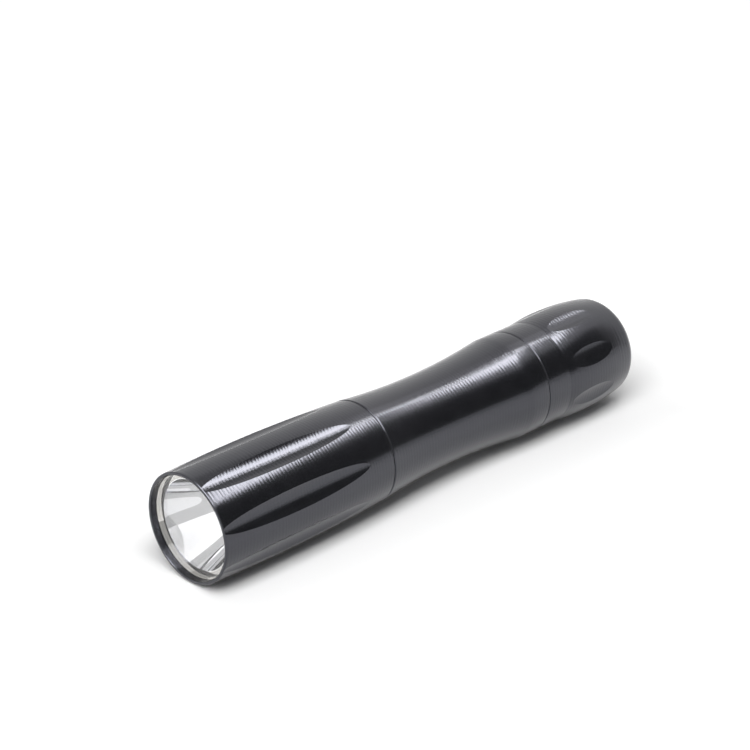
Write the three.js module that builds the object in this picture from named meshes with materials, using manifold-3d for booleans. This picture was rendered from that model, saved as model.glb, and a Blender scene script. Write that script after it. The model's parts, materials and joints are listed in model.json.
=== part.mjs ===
// Single-cell aluminium flashlight with a fluted head, a waisted body and a fluted tail cap
// with a push switch. Millimetres. Every turned piece is drawn as a profile of (radius, station),
// where the station runs along the axis from the front lip back to the tail face.
import * as THREE from 'three';
import { mergeVertices } from 'three/addons/utils/BufferGeometryUtils.js';
import Module from 'manifold-3d';

const wasm = await Module();
wasm.setup();

// Facets round the shells, the rubber rings, the small inner pieces, a flute cutter, a hole and a pin
const SHELL_FACETS = 48;
const RING_FACETS = 32;
const INNER_FACETS = 20;
const CUTTER_FACETS = 32;
const HOLE_FACETS = 12;
const PIN_FACETS = 10;

// Steps along each arc of a profile
const ARC_STEPS = { lip: 2, head: 7, waist: 8, bulb: 6, tailEdge: 3, dish: 2, boot: 5, cutter: 6 };

// How far a cutter runs past the face it opens
const CUT_PAST = 1;

// Clearances
const SEAT_GAP = 0.05;
const SEAM_GAP = 0.1;
const SLIDE_GAP = 0.1;
const THREAD_CLEARANCE = 0.2;
const CONTACT_GAP = 0.3;

// Cell: one AA size
const CELL_RADIUS = 7.2;
const CELL_LENGTH = 50.5;
const CELL_SLEEVE_WALL = 0.25;
const CELL_NUB_RADIUS = 2.7;
const CELL_NUB_HEIGHT = 1.5;
const CELL_BASE_RADIUS = 4.8;
const CELL_BASE_HEIGHT = 0.8;
const CELL_CLEARANCE = 0.25;

// Body tube
const SPIGOT_WALL = 1.35;
const WAIST_WALL = 1.66;
const FRONT_SPIGOT_LENGTH = 9.7;
const REAR_SPIGOT_LENGTH = 7.5;
const SPIGOT_CHAMFER = 0.4;
const BODY_BAND_LENGTH = 4.3;
const BODY_OVERHANG = 2.5;
const BAND_WALL = 1.3;
const SEAM_CHAMFER = 0.15;
const GROOVE_DEPTH = 0.7;
const GROOVE_WIDTH = 1.2;
const GROOVE_SETBACK = 1.2;
const RING_SECTION = 0.35;

// Head shell
const HEAD_LENGTH = 41.0;
const HEAD_CROWN = 0.51;
const HEAD_REAR_WALL = 1.1;
const LIP_WALL = 1.18;
const LIP_EDGE_RADIUS = 0.5;
const LIP_CHAMFER = 0.15;
const PILL_LEDGE = 0.7;

// Lens and reflector
const LENS_RECESS = 1.1;
const LENS_THICKNESS = 1.5;
const MOUTH_RADIUS = 8.0;
const FLANGE_WIDTH = 1.25;
const FLANGE_THICKNESS = 1.0;
const FOCAL_LENGTH = 1.25;
const REFLECTOR_WALL = 1.0;
const NECK_WALL = 0.25;
const BASE_HOLE_RADIUS = 2.6;
const BASE_HOLE_LENGTH = 0.55;
const SEAL_SECTION = 0.33;

// Light source and driver
const INSULATOR_THICKNESS = 0.55;
const LED_PACKAGE_SIDE = 3.45;
const LED_PACKAGE_HEIGHT = 1.0;
const LED_DOME_RADIUS = 1.3;
const LED_BOARD_RADIUS = 7.0;
const LED_BOARD_THICKNESS = 1.2;
const PILL_FLOOR = 2.4;
const PILL_WALL = 1.05;
const PILL_FLANGE_THICKNESS = 1.5;
const DRIVER_LEDGE = 0.6;
const DRIVER_RECESS = 3.0;
const DRIVER_THICKNESS = 1.6;
const DRIVER_CONTACT_RADIUS = 2.6;
const DRIVER_CONTACT_HEIGHT = 1.15;
const CHIP_SIZE = [4.0, 1.5, 5.0];
const CHIP_OFFSET = 3.4;
const INDUCTOR_RADIUS = 2.2;
const INDUCTOR_HEIGHT = 3.0;
const INDUCTOR_OFFSET = 3.4;
const LEAD_RADIUS = 0.5;
const LEAD_HOLE_RADIUS = 0.75;
const LEAD_BOARD_OFFSET = 5.0;
const LEAD_DRIVER_OFFSET = 3.6;
const LEAD_BEND = 2.2;

// Tail cap
const CAP_BAND_LENGTH = 5.9;
const BULB_CROWN = 0.72;
const TAIL_EDGE_RADIUS = 2.65;
const TAIL_EDGE_START = THREE.MathUtils.degToRad(10);
const TAIL_FACE_RADIUS = 7.3;
const END_WALL = 4.0;
const BUTTON_HOLE_RADIUS = 5.35;
const DISH_WIDTH = 1.05;
const DISH_DEPTH = 1.4;
const DISH_BULGE = 0.23;
const CHAMBER_RADIUS = 7.6;
const CHAMBER_LENGTH = 11.55;

// Tail switch
const RETAINER_THICKNESS = 0.85;
const RETAINER_WIDTH = 2.4;
const SPANNER_NOTCH = 1.6;
const GROUND_RING_THICKNESS = 0.35;
const GROUND_RING_WIDTH = 2.2;
const SWITCH_BOARD_THICKNESS = 1.2;
const TERMINAL_RADIUS = 0.45;
const TERMINAL_TAIL = 0.5;
const TERMINAL_OFFSET = 2.6;
const HOUSING_SIDE = 8.4;
const HOUSING_HEIGHT = 7.0;
const WELL_RADIUS = 2.3;
const WELL_FLOOR = 1.6;
const PLUNGER_GAP = 0.2;
const PLUNGER_PAD_RADIUS = 2.9;
const PLUNGER_PAD_HEIGHT = 1.0;
const RETURN_SPRING_LENGTH = 3.2;
const RETURN_SPRING_TURNS = 3;
const RETURN_SPRING_WIRE = 0.18;
const RETURN_SPRING_RADIUS = 1.5;
const TAIL_SPRING_TURNS = 6;
const TAIL_SPRING_WIRE = 0.4;
const TAIL_SPRING_BASE_RADIUS = 5.0;
const TAIL_SPRING_TIP_RADIUS = 3.0;
const BOOT_FLANGE_THICKNESS = 1.0;
const BOOT_WALL = 1.1;
const BOOT_RECESS = 0.8;
const BOOT_BOSS_RADIUS = 1.8;
const BOOT_CROWN = 0.9;
const WASHER_THICKNESS = 1.2;

// Leaf-shaped flutes, cut by a barrel-shaped cutter that lies along the axis
const HEAD_FLUTES = { count: 8, first: 26, cutter: 4.9, swell: 620, depth: 0.67, middle: 17.5, reach: 20 };
const TAIL_FLUTES = { count: 8, first: 16.5, cutter: 7.2, swell: 109, depth: 0.5, middle: 5.6, reach: 9 };

// Radii that follow from the cell and the walls
const bodyBore = CELL_RADIUS + CELL_CLEARANCE;
const spigotRadius = bodyBore + SPIGOT_WALL;
const threadBore = spigotRadius + THREAD_CLEARANCE;
const grooveRoot = spigotRadius - GROOVE_DEPTH;
const headRearRadius = threadBore + HEAD_REAR_WALL;
const bandRadius = threadBore + BAND_WALL;
const flangeRadius = MOUTH_RADIUS + FLANGE_WIDTH;
const lensBore = flangeRadius + SLIDE_GAP;
const headFrontRadius = lensBore + LIP_WALL;
const neckRadius = MOUTH_RADIUS + NECK_WALL;
const reflectorBore = neckRadius + SLIDE_GAP;
const pillBore = threadBore - PILL_LEDGE;
const pillRadius = pillBore - SEAT_GAP;
const pillInner = pillRadius - PILL_WALL;

// Stations from the front lip to the cell
const lensRear = LENS_RECESS + LENS_THICKNESS;
const flangeFront = lensRear + SEAT_GAP;
const flangeRear = flangeFront + FLANGE_THICKNESS;
const sealStation = flangeRear + SEAT_GAP + SEAL_SECTION;
const headShoulder = sealStation + SEAL_SECTION + SEAT_GAP;
const vertex = flangeFront + MOUTH_RADIUS ** 2 / (4 * FOCAL_LENGTH);
const baseHoleFront = vertex - BASE_HOLE_RADIUS ** 2 / (4 * FOCAL_LENGTH);
const reflectorRear = baseHoleFront + BASE_HOLE_LENGTH;
const ledBoardFront = reflectorRear + 2 * SEAT_GAP + INSULATOR_THICKNESS;
const ledBoardRear = ledBoardFront + LED_BOARD_THICKNESS;
const pillFront = ledBoardRear + SEAT_GAP;
const pillFloorRear = pillFront + PILL_FLOOR;
const bodyShoulder = HEAD_LENGTH + SEAM_GAP;
const bodyFront = bodyShoulder - FRONT_SPIGOT_LENGTH;
const pillRear = bodyFront - CONTACT_GAP;
const pillLedge = pillRear - PILL_FLANGE_THICKNESS - SEAT_GAP;
const driverRear = pillRear - DRIVER_RECESS;
const driverFront = driverRear - DRIVER_THICKNESS;
const driverContactRear = driverRear + SEAT_GAP + DRIVER_CONTACT_HEIGHT;

// Stations of the cell and of the body behind it
const cellFront = driverContactRear + CONTACT_GAP;
const cellShoulder = cellFront + CELL_NUB_HEIGHT;
const cellRear = cellFront + CELL_LENGTH;
const cellBaseFront = cellRear - CELL_BASE_HEIGHT;
const bandRear = cellRear + BODY_OVERHANG;
const bandFront = bandRear - BODY_BAND_LENGTH;
const bodyRear = bandRear + REAR_SPIGOT_LENGTH;

// Stations of the tail cap and its switch
const capFront = bandRear + SEAM_GAP;
const bulbFront = capFront + CAP_BAND_LENGTH;
const retainerFront = bodyRear + CONTACT_GAP;
const groundRingFront = retainerFront + RETAINER_THICKNESS + SEAT_GAP;
const switchBoardFront = groundRingFront + GROUND_RING_THICKNESS + SEAT_GAP;
const switchBoardRear = switchBoardFront + SWITCH_BOARD_THICKNESS;
const capLedge = switchBoardRear + SEAT_GAP;
const housingFront = capLedge;
const housingRear = housingFront + HOUSING_HEIGHT;
const wellFloor = housingFront + WELL_FLOOR;
const capInnerEnd = capLedge + CHAMBER_LENGTH;
const tailFace = capInnerEnd + END_WALL;
const bootFlangeFront = capInnerEnd - SEAT_GAP - BOOT_FLANGE_THICKNESS;
const washerFront = bootFlangeFront - SEAT_GAP - WASHER_THICKNESS;
const plungerFront = wellFloor + RETURN_SPRING_LENGTH + 2 * SEAT_GAP;
const plungerRear = bootFlangeFront - SEAT_GAP;

const material = (color, roughness, metalness) =>
  new THREE.MeshStandardMaterial({ color, roughness, metalness });

// The body lies on its side: stations run along +X and angle zero points up
const flashlight = new THREE.Group();
flashlight.rotation.z = -Math.PI / 2;

function piece(name, geometry, color, roughness, metalness) {
  const mesh = new THREE.Mesh(geometry, material(color, roughness, metalness));
  mesh.name = name;
  flashlight.add(mesh);
  return mesh;
}

// Points of a circular arc between two profile points, bowed to the left of the way it runs
// by a rise that is negative for a hollow curve. The first point is left out.
function bowed(from, to, rise, steps) {
  const chord = new THREE.Vector2().subVectors(to, from);
  const half = chord.length() / 2;
  const radius = (half ** 2 + rise ** 2) / (2 * Math.abs(rise));
  const outward = new THREE.Vector2(chord.y, -chord.x).normalize();
  const middle = new THREE.Vector2().addVectors(from, to).multiplyScalar(0.5);
  const centre = middle.clone().addScaledVector(outward, rise - Math.sign(rise) * radius);
  const start = Math.atan2(from.y - centre.y, from.x - centre.x);
  let sweep = Math.atan2(to.y - centre.y, to.x - centre.x) - start;
  sweep = Math.atan2(Math.sin(sweep), Math.cos(sweep));
  return Array.from({ length: steps }, (_, i) => {
    const angle = start + (sweep * (i + 1)) / steps;
    return new THREE.Vector2(centre.x + radius * Math.cos(angle), centre.y + radius * Math.sin(angle));
  });
}

const at = (radius, station) => new THREE.Vector2(radius, station);

// A closed profile turned about the axis
function turned(points, facets) {
  const onAxis = points[0].x === 0 && points.at(-1).x === 0;
  const profile = onAxis ? points : [...points, points[0].clone()];
  return new THREE.LatheGeometry(profile, facets);
}

const ring = (inner, outer, front, rear) =>
  turned([at(inner, front), at(outer, front), at(outer, rear), at(inner, rear)], INNER_FACETS);

const disc = (radius, front, rear) =>
  turned([at(0, front), at(radius, front), at(radius, rear), at(0, rear)], INNER_FACETS);

function roundRing(radius, station, section) {
  const sides = 8;
  const points = Array.from({ length: sides }, (_, i) => {
    const angle = ((i + 0.5) / sides) * 2 * Math.PI;
    return at(radius + section * Math.cos(angle), station + section * Math.sin(angle));
  });
  return turned(points, RING_FACETS);
}

// A closed solid from a geometry, with its shared corners merged
function solidOf(geometry) {
  const bare = geometry.clone();
  bare.deleteAttribute('normal');
  bare.deleteAttribute('uv');
  const merged = mergeVertices(bare);
  const index = merged.index.array;
  const triangles = [];
  for (let i = 0; i < index.length; i += 3) {
    const corners = [index[i], index[i + 1], index[i + 2]];
    if (new Set(corners).size === 3) triangles.push(...corners);
  }
  const vertProperties = new Float32Array(merged.attributes.position.array);
  const triVerts = new Uint32Array(triangles);
  return new wasm.Manifold(new wasm.Mesh({ numProp: 3, vertProperties, triVerts }));
}

function cutAway(geometry, cutters) {
  const solid = cutters.reduce((body, cutter) => body.subtract(solidOf(cutter)), solidOf(geometry));
  const mesh = solid.getMesh();
  const result = new THREE.BufferGeometry();
  result.setAttribute('position', new THREE.BufferAttribute(mesh.vertProperties, 3));
  result.setIndex(new THREE.BufferAttribute(mesh.triVerts, 1));
  result.computeVertexNormals();
  return result;
}

// Barrel-shaped cutters set round the axis, each with its belly at the middle of a flute
function fluteCutters(flutes, crestRadius, middle) {
  const { count, first, cutter, swell, depth, reach } = flutes;
  const offset = crestRadius - depth + cutter;
  const end = cutter - reach ** 2 / (2 * swell);
  const belly = bowed(at(end, -reach), at(end, reach), cutter - end, ARC_STEPS.cutter);
  const profile = [at(0, -reach), at(end, -reach), ...belly, at(0, reach)];
  return Array.from({ length: count }, (_, i) => {
    const angle = THREE.MathUtils.degToRad(first + (360 * i) / count);
    const barrel = new THREE.LatheGeometry(profile, CUTTER_FACETS, angle);
    return barrel.translate(offset * Math.sin(angle), middle, offset * Math.cos(angle));
  });
}

// A wire wound round the axis as one tube, from one radius and station to another
function wound(name, wire, turns, from, to) {
  const stepsPerTurn = 8;
  const sides = 5;
  const steps = Math.round(turns * stepsPerTurn);
  const centreAt = (t) => {
    const angle = 2 * Math.PI * turns * t;
    const radius = THREE.MathUtils.lerp(from.x, to.x, t);
    const station = THREE.MathUtils.lerp(from.y, to.y, t);
    return { angle, radius, station };
  };
  const positions = [];
  for (let i = 0; i <= steps; i += 1) {
    const { angle, radius, station } = centreAt(i / steps);
    for (let k = 0; k < sides; k += 1) {
      const turn = (2 * Math.PI * k) / sides;
      const reach = radius + wire * Math.cos(turn);
      positions.push(reach * Math.sin(angle), station + wire * Math.sin(turn), reach * Math.cos(angle));
    }
  }
  const faces = [];
  for (let i = 0; i < steps; i += 1) {
    for (let k = 0; k < sides; k += 1) {
      const a = i * sides + k;
      const b = i * sides + ((k + 1) % sides);
      faces.push(a, a + sides, b, b, a + sides, b + sides);
    }
  }
  const last = steps * sides;
  for (let k = 1; k + 1 < sides; k += 1) {
    faces.push(0, k, k + 1, last, last + k + 1, last + k);
  }
  const geometry = new THREE.BufferGeometry();
  geometry.setAttribute('position', new THREE.Float32BufferAttribute(positions, 3));
  geometry.setIndex(faces);
  geometry.computeVertexNormals();
  console.log(`${name}: least gap to itself ${leastGap(centreAt, turns, wire).toFixed(2)} mm`);
  return geometry;
}

// The least gap between a wound wire and itself, measured on points more than half a turn apart
function leastGap(centreAt, turns, wire) {
  const perTurn = 24;
  const count = Math.round(turns * perTurn);
  const points = Array.from({ length: count + 1 }, (_, i) => {
    const { angle, radius, station } = centreAt(i / count);
    return new THREE.Vector3(radius * Math.sin(angle), station, radius * Math.cos(angle));
  });
  let least = Infinity;
  points.forEach((point, i) => {
    points.slice(i + perTurn / 2).forEach((other) => {
      least = Math.min(least, point.distanceTo(other));
    });
  });
  return least - 2 * wire;
}

// Head shell: thin front lip, crowned barrel, bores for the lens, reflector, pill and body thread
function headShell() {
  const lipTop = at(headFrontRadius, LIP_EDGE_RADIUS);
  const rearEdge = at(headRearRadius, HEAD_LENGTH - SEAM_CHAMFER);
  const lipFace = at(headFrontRadius - LIP_EDGE_RADIUS, 0);
  const edgeRise = LIP_EDGE_RADIUS * (1 - Math.SQRT1_2);
  const blank = turned([
    at(lensBore + LIP_CHAMFER, 0),
    lipFace,
    ...bowed(lipFace, lipTop, edgeRise, ARC_STEPS.lip),
    ...bowed(lipTop, rearEdge, HEAD_CROWN, ARC_STEPS.head),
    at(headRearRadius - SEAM_CHAMFER, HEAD_LENGTH),
    at(threadBore, HEAD_LENGTH),
    at(threadBore, pillLedge),
    at(pillBore, pillLedge),
    at(pillBore, pillFront),
    at(reflectorBore, pillFront),
    at(reflectorBore, headShoulder),
    at(lensBore, headShoulder),
    at(lensBore, LIP_CHAMFER),
  ], SHELL_FACETS);
  const crest = (headFrontRadius + headRearRadius) / 2 + HEAD_CROWN;
  return cutAway(blank, fluteCutters(HEAD_FLUTES, crest, HEAD_FLUTES.middle));
}

// Body tube: threaded spigots with seal grooves at both ends and a hollow-curved waist between
function bodyTube() {
  const waistRadius = bodyBore + WAIST_WALL;
  const waistFront = at(headRearRadius, bodyShoulder + SEAM_CHAMFER);
  const waistRear = at(bandRadius, bandFront);
  const hollow = waistRadius - (headRearRadius + bandRadius) / 2;
  const groove = (front) => [
    at(spigotRadius, front),
    at(grooveRoot, front),
    at(grooveRoot, front + GROOVE_WIDTH),
    at(spigotRadius, front + GROOVE_WIDTH),
  ];
  return turned([
    at(bodyBore, bodyFront),
    at(spigotRadius - SPIGOT_CHAMFER, bodyFront),
    at(spigotRadius, bodyFront + SPIGOT_CHAMFER),
    ...groove(bodyShoulder - GROOVE_SETBACK - GROOVE_WIDTH),
    at(spigotRadius, bodyShoulder),
    at(headRearRadius - SEAM_CHAMFER, bodyShoulder),
    waistFront,
    ...bowed(waistFront, waistRear, hollow, ARC_STEPS.waist),
    at(bandRadius, bandRear - SEAM_CHAMFER),
    at(bandRadius - SEAM_CHAMFER, bandRear),
    at(spigotRadius, bandRear),
    ...groove(bandRear + GROOVE_SETBACK),
    at(spigotRadius, bodyRear - SPIGOT_CHAMFER),
    at(spigotRadius - SPIGOT_CHAMFER, bodyRear),
    at(bodyBore, bodyRear),
  ], SHELL_FACETS);
}

// Tail cap: band, fluted bulb with a rounded end, dished button hole and switch chamber
function tailCap() {
  const edgeCentre = tailFace - TAIL_EDGE_RADIUS;
  const bulbStart = at(bandRadius, bulbFront);
  const edgeStart = at(
    TAIL_FACE_RADIUS + TAIL_EDGE_RADIUS * Math.cos(TAIL_EDGE_START),
    edgeCentre + TAIL_EDGE_RADIUS * Math.sin(TAIL_EDGE_START),
  );
  const edgeEnd = at(TAIL_FACE_RADIUS, tailFace);
  const edgeTurn = Math.PI / 2 - TAIL_EDGE_START;
  const edgeRise = TAIL_EDGE_RADIUS * (1 - Math.cos(edgeTurn / 2));
  const dishTop = at(BUTTON_HOLE_RADIUS + DISH_WIDTH, tailFace);
  const dishFoot = at(BUTTON_HOLE_RADIUS, tailFace - DISH_DEPTH);
  const blank = turned([
    at(threadBore, capFront),
    at(bandRadius - SEAM_CHAMFER, capFront),
    at(bandRadius, capFront + SEAM_CHAMFER),
    bulbStart,
    ...bowed(bulbStart, edgeStart, BULB_CROWN, ARC_STEPS.bulb),
    ...bowed(edgeStart, edgeEnd, edgeRise, ARC_STEPS.tailEdge),
    dishTop,
    ...bowed(dishTop, dishFoot, DISH_BULGE, ARC_STEPS.dish),
    at(BUTTON_HOLE_RADIUS, capInnerEnd),
    at(CHAMBER_RADIUS, capInnerEnd),
    at(CHAMBER_RADIUS, capLedge),
    at(threadBore, capLedge),
  ], SHELL_FACETS);
  const crest = (bandRadius + edgeStart.x) / 2 + BULB_CROWN;
  return cutAway(blank, fluteCutters(TAIL_FLUTES, crest, bulbFront + TAIL_FLUTES.middle));
}

// Reflector: a paraboloid bowl with a flat front flange and a hole for the light source
function reflectorBowl() {
  const steps = 8;
  const bowlAt = (station) => Math.sqrt(4 * FOCAL_LENGTH * (vertex - station));
  const stationOf = (radius) => vertex - radius ** 2 / (4 * FOCAL_LENGTH);
  const neckRear = stationOf(neckRadius - REFLECTOR_WALL);
  const outside = Array.from({ length: steps }, (_, i) => {
    const station = THREE.MathUtils.lerp(neckRear, baseHoleFront, i / (steps - 1));
    return at(bowlAt(station) + REFLECTOR_WALL, station);
  });
  const inside = Array.from({ length: steps }, (_, i) => {
    const radius = THREE.MathUtils.lerp(BASE_HOLE_RADIUS, MOUTH_RADIUS, i / steps);
    return at(radius, stationOf(radius));
  });
  return turned([
    at(MOUTH_RADIUS, flangeFront),
    at(flangeRadius, flangeFront),
    at(flangeRadius, flangeRear),
    at(neckRadius, flangeRear),
    ...outside,
    at(BASE_HOLE_RADIUS + REFLECTOR_WALL, reflectorRear),
    at(BASE_HOLE_RADIUS, reflectorRear),
    ...inside,
  ], INNER_FACETS);
}

// Short straight bores for the light source's leads, one each side of the axis
function leadHoles(radius, offset, front, rear) {
  return [1, -1].map((side) => {
    const hole = new THREE.CylinderGeometry(radius, radius, rear - front + 2 * CUT_PAST, HOLE_FACETS);
    return hole.translate(0, (front + rear) / 2, side * offset);
  });
}

// Pill: the heat-sink cup that carries the light source in front and the driver behind
function ledPill() {
  const flange = threadBore - SLIDE_GAP;
  const cup = turned([
    at(0, pillFront),
    at(pillRadius, pillFront),
    at(pillRadius, pillRear - PILL_FLANGE_THICKNESS),
    at(flange, pillRear - PILL_FLANGE_THICKNESS),
    at(flange, pillRear),
    at(pillInner, pillRear),
    at(pillInner, driverFront - SEAT_GAP),
    at(pillInner - DRIVER_LEDGE, driverFront - SEAT_GAP),
    at(pillInner - DRIVER_LEDGE, pillFloorRear),
    at(0, pillFloorRear),
  ], INNER_FACETS);
  return cutAway(cup, leadHoles(LEAD_HOLE_RADIUS, LEAD_BOARD_OFFSET, pillFront, pillFloorRear));
}

function ledBoard() {
  const plate = disc(LED_BOARD_RADIUS, ledBoardFront, ledBoardRear);
  return cutAway(plate, leadHoles(LEAD_HOLE_RADIUS, LEAD_BOARD_OFFSET, ledBoardFront, ledBoardRear));
}

// A lead that rises from the driver, bends outward and passes through the pill to the light board
function ledLead(side) {
  const start = driverFront - SEAT_GAP;
  const path = new THREE.CatmullRomCurve3([
    new THREE.Vector3(0, start, side * LEAD_DRIVER_OFFSET),
    new THREE.Vector3(0, start - LEAD_BEND, side * LEAD_DRIVER_OFFSET),
    new THREE.Vector3(0, pillFloorRear + LEAD_BEND / 2, side * LEAD_BOARD_OFFSET),
    new THREE.Vector3(0, pillFloorRear, side * LEAD_BOARD_OFFSET),
    new THREE.Vector3(0, ledBoardFront + SEAT_GAP, side * LEAD_BOARD_OFFSET),
  ]);
  const section = new THREE.Shape().absarc(0, 0, LEAD_RADIUS, 0, 2 * Math.PI);
  return new THREE.ExtrudeGeometry(section, {
    steps: 14,
    curveSegments: 4,
    extrudePath: path,
    bevelEnabled: false,
  });
}

function ledDome() {
  const foot = ledBoardFront - SEAT_GAP * 2 - LED_PACKAGE_HEIGHT;
  const steps = 5;
  const dome = Array.from({ length: steps }, (_, i) => {
    const angle = ((i + 1) / steps) * (Math.PI / 2);
    return at(LED_DOME_RADIUS * Math.sin(angle), foot - LED_DOME_RADIUS * Math.cos(angle));
  });
  return turned([at(0, foot - LED_DOME_RADIUS), ...dome, at(0, foot)], INNER_FACETS);
}

function block(size, x, station, z) {
  return new THREE.BoxGeometry(...size).translate(x, station, z);
}

// Cell: steel can with a raised contact, printed sleeve, base plate and insulating seal
function cellCan() {
  const radius = CELL_RADIUS - CELL_SLEEVE_WALL - SEAT_GAP;
  return turned([
    at(0, cellFront),
    at(CELL_NUB_RADIUS, cellFront),
    at(CELL_NUB_RADIUS, cellShoulder),
    at(radius, cellShoulder),
    at(radius, cellBaseFront - SEAT_GAP),
    at(0, cellBaseFront - SEAT_GAP),
  ], INNER_FACETS);
}

// Retaining ring: threads into the cap behind the body, with two notches for a spanner
function retainingRing() {
  const outer = threadBore - SLIDE_GAP;
  const blank = ring(outer - RETAINER_WIDTH, outer, retainerFront, retainerFront + RETAINER_THICKNESS);
  const notch = [SPANNER_NOTCH, RETAINER_THICKNESS, SPANNER_NOTCH];
  const centre = outer - RETAINER_WIDTH;
  return cutAway(blank, [1, -1].map((side) => block(notch, side * centre, retainerFront, 0)));
}

const switchBoardRadius = threadBore - THREAD_CLEARANCE;

function switchBoard() {
  const plate = disc(switchBoardRadius, switchBoardFront, switchBoardRear);
  const hole = TERMINAL_RADIUS + SLIDE_GAP;
  return cutAway(plate, leadHoles(hole, TERMINAL_OFFSET, switchBoardFront, switchBoardRear));
}

function terminal(side) {
  const front = switchBoardFront - TERMINAL_TAIL;
  const rear = housingFront - SEAT_GAP;
  const pin = new THREE.CylinderGeometry(TERMINAL_RADIUS, TERMINAL_RADIUS, rear - front, PIN_FACETS);
  return pin.translate(0, (front + rear) / 2, side * TERMINAL_OFFSET);
}

// Switch housing: a square block with a well that guides the plunger over its return spring
function switchHousing() {
  const size = [HOUSING_SIDE, HOUSING_HEIGHT, HOUSING_SIDE];
  const body = block(size, 0, (housingFront + housingRear) / 2, 0);
  const well = turned([
    at(0, wellFloor),
    at(WELL_RADIUS, wellFloor),
    at(WELL_RADIUS, housingRear + CUT_PAST),
    at(0, housingRear + CUT_PAST),
  ], INNER_FACETS);
  return cutAway(body, [well]);
}

function switchPlunger() {
  const stem = WELL_RADIUS - PLUNGER_GAP;
  return turned([
    at(0, plungerFront),
    at(stem, plungerFront),
    at(stem, plungerRear - PLUNGER_PAD_HEIGHT),
    at(PLUNGER_PAD_RADIUS, plungerRear - PLUNGER_PAD_HEIGHT),
    at(PLUNGER_PAD_RADIUS, plungerRear),
    at(0, plungerRear),
  ], INNER_FACETS);
}

// Boot: rubber top-hat with a clamped flange, a crowned button and a boss that meets the plunger
function switchBoot() {
  const button = BUTTON_HOLE_RADIUS - THREAD_CLEARANCE;
  const crownTop = tailFace - BOOT_RECESS;
  const side = at(button, crownTop - BOOT_CROWN);
  const top = at(0, crownTop);
  const ceiling = crownTop - BOOT_CROWN - BOOT_WALL;
  const crownRadius = (button ** 2 + BOOT_CROWN ** 2) / (2 * BOOT_CROWN);
  const rise = crownRadius * (1 - Math.cos(Math.asin(button / crownRadius) / 2));
  const flangeRear = capInnerEnd - SEAT_GAP;
  return turned([
    at(0, plungerRear + SEAT_GAP),
    at(BOOT_BOSS_RADIUS, plungerRear + SEAT_GAP),
    at(BOOT_BOSS_RADIUS, ceiling),
    at(button - BOOT_WALL, ceiling),
    at(button - BOOT_WALL, bootFlangeFront),
    at(CHAMBER_RADIUS - SLIDE_GAP, bootFlangeFront),
    at(CHAMBER_RADIUS - SLIDE_GAP, flangeRear),
    at(button, flangeRear),
    side,
    ...bowed(side, top, rise, ARC_STEPS.boot),
  ], INNER_FACETS);
}

// Head group
piece('head_shell', headShell(), 0x15161a, 0.25, 0.9);
piece('lens', turned([
  at(0, LENS_RECESS),
  at(flangeRadius, LENS_RECESS),
  at(flangeRadius, lensRear),
  at(0, lensRear),
], SHELL_FACETS), 0xf4f8fb, 0.05, 0);
piece('reflector', reflectorBowl(), 0xe9ebee, 0.08, 1);
piece('reflector_seal', roundRing((neckRadius + lensBore) / 2, sealStation, SEAL_SECTION), 0x1a1a1a, 0.8, 0);
const insulatorFront = reflectorRear + SEAT_GAP;
piece('led_insulator', ring(
  BASE_HOLE_RADIUS,
  BASE_HOLE_RADIUS + REFLECTOR_WALL,
  insulatorFront,
  insulatorFront + INSULATOR_THICKNESS,
), 0xf2f2ee, 0.6, 0);
const packageSize = [LED_PACKAGE_SIDE, LED_PACKAGE_HEIGHT, LED_PACKAGE_SIDE];
const packageStation = ledBoardFront - SEAT_GAP - LED_PACKAGE_HEIGHT / 2;
piece('led_package', block(packageSize, 0, packageStation, 0), 0xf0e7c8, 0.5, 0);
piece('led_dome', ledDome(), 0xf6e58a, 0.1, 0);
piece('led_board', ledBoard(), 0xe8eaea, 0.5, 0);
piece('led_pill', ledPill(), 0xb9bcc0, 0.4, 1);
piece('led_lead_positive', ledLead(1), 0xb3241f, 0.6, 0);
piece('led_lead_negative', ledLead(-1), 0x1d1d1f, 0.6, 0);
piece('driver_board', disc(pillInner - SLIDE_GAP, driverFront, driverRear), 0x1f5a35, 0.5, 0);
const chipStation = driverFront - SEAT_GAP - CHIP_SIZE[1] / 2;
piece('driver_chip', block(CHIP_SIZE, CHIP_OFFSET, chipStation, 0), 0x202124, 0.5, 0);
const inductorRear = driverFront - SEAT_GAP;
piece('driver_inductor', disc(INDUCTOR_RADIUS, inductorRear - INDUCTOR_HEIGHT, inductorRear)
  .translate(-INDUCTOR_OFFSET, 0, 0), 0x3a3c40, 0.6, 0.2);
piece('driver_contact', disc(DRIVER_CONTACT_RADIUS, driverRear + SEAT_GAP, driverContactRear), 0xc8a13c, 0.3, 1);

// Body group
piece('body_tube', bodyTube(), 0x15161a, 0.25, 0.9);
const ringRadius = grooveRoot / Math.cos(Math.PI / RING_FACETS) + SEAT_GAP + RING_SECTION;
const headRingStation = bodyShoulder - GROOVE_SETBACK - GROOVE_WIDTH / 2;
const tailRingStation = bandRear + GROOVE_SETBACK + GROOVE_WIDTH / 2;
piece('head_oring', roundRing(ringRadius, headRingStation, RING_SECTION), 0x161616, 0.8, 0);
piece('tail_oring', roundRing(ringRadius, tailRingStation, RING_SECTION), 0x161616, 0.8, 0);
piece('cell_can', cellCan(), 0xc3c6c9, 0.35, 1);
piece('cell_sleeve', ring(
  CELL_RADIUS - CELL_SLEEVE_WALL,
  CELL_RADIUS,
  cellShoulder,
  cellRear - CELL_BASE_HEIGHT / 2,
), 0x2c5d8a, 0.35, 0);
piece('cell_base', disc(CELL_BASE_RADIUS, cellBaseFront, cellRear), 0xc3c6c9, 0.35, 1);
piece('cell_seal', ring(
  CELL_BASE_RADIUS + SEAT_GAP,
  CELL_RADIUS - CELL_SLEEVE_WALL - SEAT_GAP,
  cellBaseFront,
  cellRear - CELL_BASE_HEIGHT / 2,
), 0x303030, 0.7, 0);

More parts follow.
